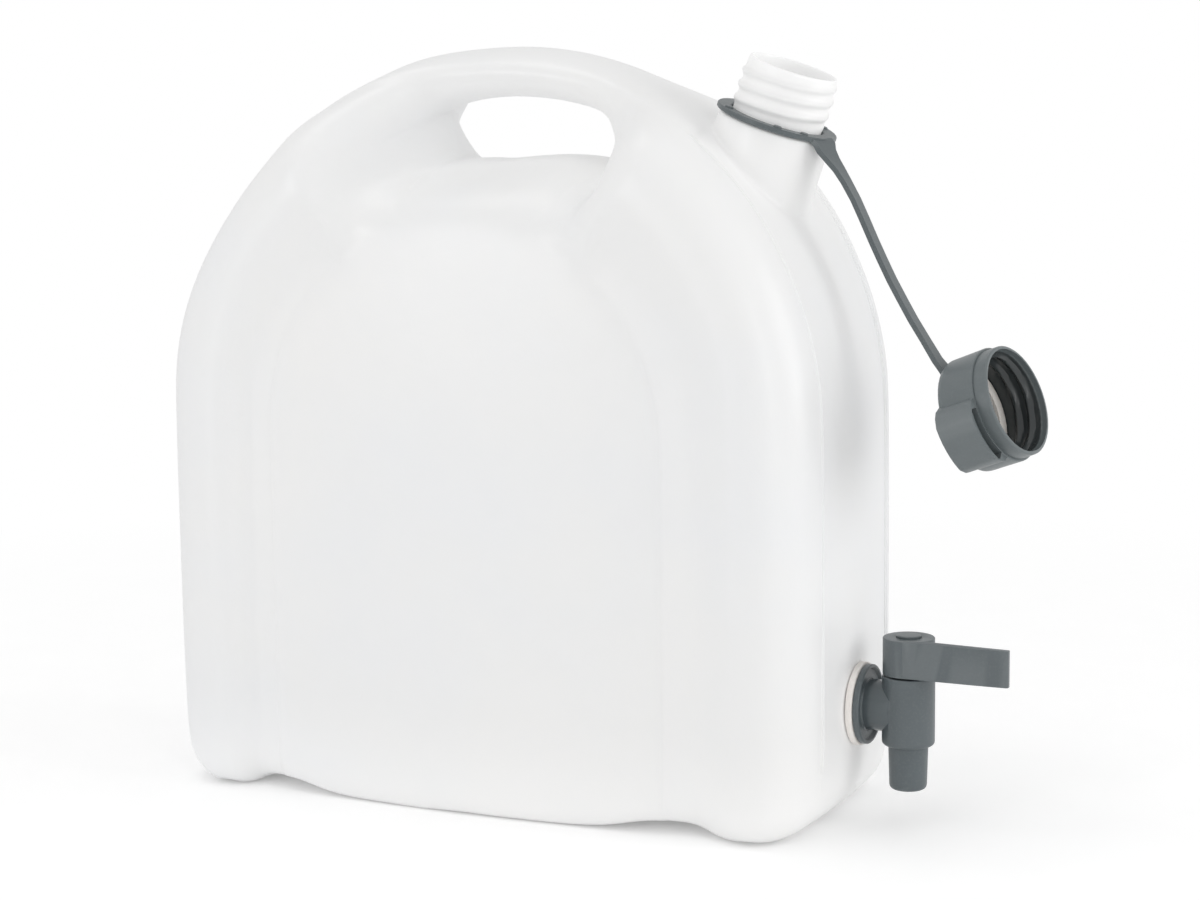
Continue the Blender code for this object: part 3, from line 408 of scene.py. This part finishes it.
def subdivided_once(piece):
    """The piece's surface rounded by one level, in view and in render."""
    step = piece.modifiers.new("finer", "SUBSURF")
    step.levels = 1
    step.render_levels = 1


def new_object(name, data):
    """An object at the origin, in the scene."""
    made = bpy.data.objects.new(name, data)
    bpy.context.scene.collection.objects.link(made)
    return made


def new_piece(name, shape, material=None):
    """An object from an edited shape: smooth, with one finish."""
    mesh = bpy.data.meshes.new(name)
    for face in shape.faces:
        face.smooth = True
        face.material_index = 0
    shape.to_mesh(mesh)
    shape.free()
    mesh.materials.clear()
    if material is not None:
        mesh.materials.append(material)
    return new_object(name, mesh)


def baked_shape(piece):
    """The piece as its modifiers, or a curve's own thickness, leave it, ready to edit."""
    bpy.context.view_layer.update()
    graph = bpy.context.evaluated_depsgraph_get()
    mesh = bpy.data.meshes.new_from_object(piece.evaluated_get(graph), depsgraph=graph)
    shape = bmesh.new()
    shape.from_mesh(mesh)
    bpy.data.meshes.remove(mesh)
    return shape


# Can
TAP_HOLE_REACH = 0.012
TAP_WALL_X = 0.15
SmoothArea = namedtuple("SmoothArea", "above near far half_depth rounds")
SCOOP_FOLDS = SmoothArea(above=ARCH_Z + 0.030, near=0.084, far=0.134, half_depth=0.040, rounds=7)
RIDGE_FOLDS = SmoothArea(above=0.020, near=0.086, far=0.118, half_depth=0.050, rounds=1)


def arch_reach(place):
    """Distance from the arch's centre line: round it above its height, sideways below it."""
    return math.hypot(place.x, max(place.z - ARCH_Z, 0.0))


def crease_tap_hole(shape):
    """The hole for the tap stays crisp when the can is rounded."""
    crease = shape.edges.layers.float.new("crease_edge")
    for edge in shape.edges:
        middle = (edge.verts[0].co + edge.verts[1].co) / 2
        if middle.x > TAP_WALL_X and math.hypot(middle.y, middle.z - TAP_Z) < TAP_HOLE_REACH:
            edge[crease] = 1.0


def melt_folds(shape, area):
    """The moulded folds of one area melt into each other."""
    spots = [
        spot for spot in shape.verts
        if spot.co.z > area.above and abs(spot.co.y) > area.half_depth
        and area.near < arch_reach(spot.co) < area.far
    ]
    for _ in range(area.rounds):
        bmesh.ops.smooth_vert(
            shape, verts=spots, factor=0.5, use_axis_x=True, use_axis_y=True, use_axis_z=True,
        )


def can_skin(name, material):
    """The can, rounded from its solid in two steps, with its folds melted in between."""
    shape = paired(NODES["can_body"].data)
    crease_tap_hole(shape)
    rough = new_piece("can_rounding", shape)
    subdivided_once(rough)
    shape = baked_shape(rough)
    bpy.data.objects.remove(rough)
    melt_folds(shape, SCOOP_FOLDS)
    melt_folds(shape, RIDGE_FOLDS)
    skin = new_piece(name, shape, material)
    subdivided_once(skin)
    return skin


# Beads beside the front strip
BEAD_R = 0.0005
BEAD_TIP = 0.2
BEAD_ROUNDNESS = 3
BEAD_TOP_ANGLE = 52.0
BEAD_FOOT_Z = 0.030
BEAD_STEPS = 60
BEAD_EVENING_ROUNDS = 12
OUTSIDE_REACH = 0.20
BEADS = (
    ("near_inner", -0.0393),
    ("near_outer", -0.0412),
    ("far_inner", 0.0393),
    ("far_outer", 0.0412),
)


def bead_route(surface, across):
    """Points on the skin from the neck's foot round the arch and straight down."""
    ahead = Vector(ALONG)
    probes = []
    for step in range(BEAD_STEPS + 1):
        turn = math.radians(BEAD_TOP_ANGLE * (1.0 - step / BEAD_STEPS))
        outward = Vector((math.cos(turn), 0.0, math.sin(turn)))
        probes.append((Vector((0.0, across, ARCH_Z)) + outward * OUTSIDE_REACH, outward))
    for step in range(1, BEAD_STEPS + 1):
        height = ARCH_Z + (BEAD_FOOT_Z - ARCH_Z) * step / BEAD_STEPS
        probes.append((Vector((OUTSIDE_REACH, across, height)), ahead))
    found = [surface.ray_cast(start, -outward)[0] for start, outward in probes]
    route = [spot for spot in found if spot is not None]
    for _ in range(BEAD_EVENING_ROUNDS):
        triples = zip(route, route[1:], route[2:])
        route[1:-1] = [(back + here * 2.0 + on) / 4.0 for back, here, on in triples]
    return route


def front_bead(name, surface, across, material):
    """One fine raised line: a bead half sunk in the skin, thin at both ends."""
    route = bead_route(surface, across)
    curve = bpy.data.curves.new(name, "CURVE")
    curve.dimensions = "3D"
    curve.bevel_depth = BEAD_R
    curve.bevel_resolution = BEAD_ROUNDNESS
    curve.use_fill_caps = True
    line = curve.splines.new("POLY")
    line.points.add(len(route) - 1)
    for point, spot in zip(line.points, route):
        point.co = (*spot, 1.0)
    for end in (0, -1):
        line.points[end].radius = BEAD_TIP
    rough = new_object("bead_line", curve)
    shape = baked_shape(rough)
    bpy.data.objects.remove(rough)
    bmesh.ops.remove_doubles(shape, verts=shape.verts, dist=MERGE_DISTANCE)
    bmesh.ops.recalc_face_normals(shape, faces=shape.faces)
    return new_piece(name, shape, material)


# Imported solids
SOFT_EDGE = 0.0003
SHARP_ANGLE = math.radians(38.0)
EVENING_WEIGHT = 50
BY_AREA = "FACE_AREA_WITH_ANGLE"
BY_CORNER = "CORNER_ANGLE"


def finish_node(node_name, material, evening=BY_AREA):
    """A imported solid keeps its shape, and gets soft edges, even shading and its finish."""
    piece = NODES[node_name]
    for face in piece.data.polygons:
        face.use_smooth = True
    weld = piece.modifiers.new("weld", "WELD")
    weld.merge_threshold = MERGE_DISTANCE
    soft = piece.modifiers.new("soft_edges", "BEVEL")
    soft.width = SOFT_EDGE
    soft.segments = 2
    soft.profile = 0.5
    soft.material = -1
    soft.limit_method = "ANGLE"
    soft.angle_limit = SHARP_ANGLE
    soft.use_clamp_overlap = True
    even = piece.modifiers.new("even_shading", "WEIGHTED_NORMAL")
    even.mode = evening
    even.weight = EVENING_WEIGHT
    piece.data.materials.clear()
    piece.data.materials.append(material)


# Studio
PURE_WHITE = (1.0, 1.0, 1.0, 1.0)
TENT_LIGHT = 0.79
FLOOR_R = 6.0
FLOOR_SIDES = 96
FLOOR_DARK = (0.955, 0.955, 0.955)
FLOOR_PALE = (0.97, 0.97, 0.97)
FLOOR_GLOW = 0.12
FLOOR_SHADOW_R = 0.30
FLOOR_WHITE_R = 0.75


def white_light(tree, kind, strength):
    """A white emission or background."""
    return put(tree.nodes.new(kind), Color=PURE_WHITE, Strength=strength)


def set_world():
    """A white light tent: even light, and white wherever the camera looks past the can."""
    world = bpy.data.worlds.new("light_tent")
    bpy.context.scene.world = world
    world.use_nodes = True
    tree = world.node_tree
    tree.nodes.clear()
    out = tree.nodes.new("ShaderNodeOutputWorld")
    lit = white_light(tree, "ShaderNodeBackground", TENT_LIGHT)
    seen = white_light(tree, "ShaderNodeBackground", 1.0)
    path = tree.nodes.new("ShaderNodeLightPath")
    looked_at = maths(tree, "MAXIMUM", path.outputs["Is Camera Ray"], path.outputs["Is Transmission Ray"])
    both = tree.nodes.new("ShaderNodeMixShader")
    tree.links.new(looked_at, both.inputs["Fac"])
    tree.links.new(lit.outputs["Background"], both.inputs[1])
    tree.links.new(seen.outputs["Background"], both.inputs[2])
    tree.links.new(both.outputs["Shader"], out.inputs["Surface"])


def floor_white():
    """White paper that keeps the shadow near the can and fades into pure white farther off."""
    material, tree, out = new_material("floor_white")
    here = object_place(tree)
    paper = noise(tree, here, scale=30.0, detail=4.0, roughness=0.6)
    plain = tree.nodes.new("ShaderNodeBsdfDiffuse")
    tree.links.new(ramp(tree, paper, ((0.3, FLOOR_DARK), (0.7, FLOOR_PALE))), plain.inputs["Color"])
    path = tree.nodes.new("ShaderNodeLightPath")
    glow = white_light(tree, "ShaderNodeEmission", 1.0)
    seen_glow = maths(tree, "MULTIPLY", path.outputs["Is Camera Ray"], FLOOR_GLOW)
    tree.links.new(seen_glow, glow.inputs["Strength"])
    near = tree.nodes.new("ShaderNodeAddShader")
    tree.links.new(plain.outputs["BSDF"], near.inputs[0])
    tree.links.new(glow.outputs["Emission"], near.inputs[1])
    far_share = stretch(tree, line_distance(tree, here, UPWARD), FLOOR_SHADOW_R, FLOOR_WHITE_R)
    far = white_light(tree, "ShaderNodeEmission", 1.0)
    fade = tree.nodes.new("ShaderNodeMixShader")
    tree.links.new(maths(tree, "MULTIPLY", path.outputs["Is Camera Ray"], far_share), fade.inputs["Fac"])
    tree.links.new(near.outputs["Shader"], fade.inputs[1])
    tree.links.new(far.outputs["Emission"], fade.inputs[2])
    tree.links.new(fade.outputs["Shader"], out.inputs["Surface"])
    return material


def set_floor():
    """A plain round floor that runs past the picture."""
    shape = bmesh.new()
    bmesh.ops.create_circle(shape, cap_ends=True, segments=FLOOR_SIDES, radius=FLOOR_R)
    mesh = bpy.data.meshes.new("floor")
    shape.to_mesh(mesh)
    shape.free()
    mesh.materials.append(floor_white())
    floor = new_object("floor", mesh)


def lamp(name, place, target, size, power):
    """A soft box of that width and height, turned to its target."""
    data = bpy.data.lights.new(name, "AREA")
    data.shape = "RECTANGLE"
    data.size, data.size_y = size
    data.energy = power
    light = new_object(name, data)
    light.location = place
    light.rotation_euler = (Vector(target) - Vector(place)).to_track_quat("-Z", "Y").to_euler()


def set_lamps():
    """Soft boxes above, in front on both sides, and to the right of the can."""
    lamp("tent_top", place=(-0.30, -0.25, 1.45), target=(0.0, 0.0, 0.2), size=(0.6, 0.6), power=1.7)
    lamp("tent_front_left", place=(-0.66, -1.42, 0.42), target=(0.0, 0.0, 0.17), size=(0.40, 0.40), power=2.2)
    lamp("tent_front_right", place=(1.15, -1.15, 0.36), target=(0.1, 0.0, 0.12), size=(0.22, 0.7), power=1.3)
    lamp("tent_right", place=(1.75, 0.15, 0.55), target=(0.1, 0.0, 0.15), size=(0.9, 1.0), power=6.0)


# The model
def show_can():
    """The can's skin and its beads."""
    polyethylene = natural_polyethylene()
    can = can_skin("can_body_skin", polyethylene)
    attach(can, "can")
    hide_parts("can_body")
    shape = baked_shape(can)
    surface = BVHTree.FromBMesh(shape)
    shape.free()
    for bead_name, across in BEADS:
        bead = front_bead("strip_bead_" + bead_name, surface, across, polyethylene)
        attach(bead, "can")


def show_strap_and_cap():
    """The keeper, the cap and its seal."""
    finish_node("neck_strap", grained_moulding(
        "strap_grey_grain", STRAP_GREY, rough=0.38, grain_scale=3200.0, grain_depth=0.00004,
    ))
    finish_node("cap_shell", grained_moulding(
        "cap_grey_grain", CAP_GREY, rough=0.36, grain_scale=2800.0, grain_depth=0.00004, polish=CAP_BORE_POLISH_AND_SHADE,
    ))
    finish_node("cap_seal", soft_rubber(
        "seal_cream_foam", SEAL_CREAM, SEAL_PORE_SHADE, rough=0.78, pore_scale=1500.0, pore_depth=0.0001,
    ))


def show_tap():
    """The tap's housing, gaskets, nut, plug, rings and lever."""
    finish_node("tap_housing", grained_moulding(
        "tap_grey_grain", TAP_GREY, rough=0.36, grain_scale=2600.0, grain_depth=0.00005, polish=PIPE_POLISH,
    ))
    peach = soft_rubber(
        "gasket_peach_rubber", GASKET_PEACH, GASKET_PORE_SHADE, rough=0.62, pore_scale=1900.0, pore_depth=0.00004,
    )
    finish_node("tap_outer_gasket", peach)
    finish_node("tap_inner_gasket", peach)
    finish_node("tap_back_nut", grained_moulding(
        "nut_white_satin", NUT_WHITE, rough=0.42, grain_scale=2600.0, grain_depth=0.00003,
        speck_and_edge_highlight=SPECK_AND_EDGE_HIGHLIGHT_WHITE,
    ))
    finish_node("tap_plug", grained_moulding(
        "plug_grey_smooth", PLUG_GREY, rough=0.34, grain_scale=3600.0, grain_depth=0.00002,
    ))
    black = soft_rubber(
        "oring_black_rubber", RING_BLACK, RING_PORE_SHADE, rough=0.5, pore_scale=2400.0, pore_depth=0.00002,
    )
    finish_node("plug_oring_lower", black)
    finish_node("plug_oring_upper", black)
    finish_node("tap_lever", grained_moulding(
        "lever_grey_grain", TAP_GREY, rough=0.38, grain_scale=2600.0, grain_depth=0.00005,
    ), evening=BY_CORNER)


set_camera()
set_world()
set_floor()
set_lamps()
show_can()
show_strap_and_cap()
show_tap()
bpy.context.scene.view_settings.view_transform = "Standard"
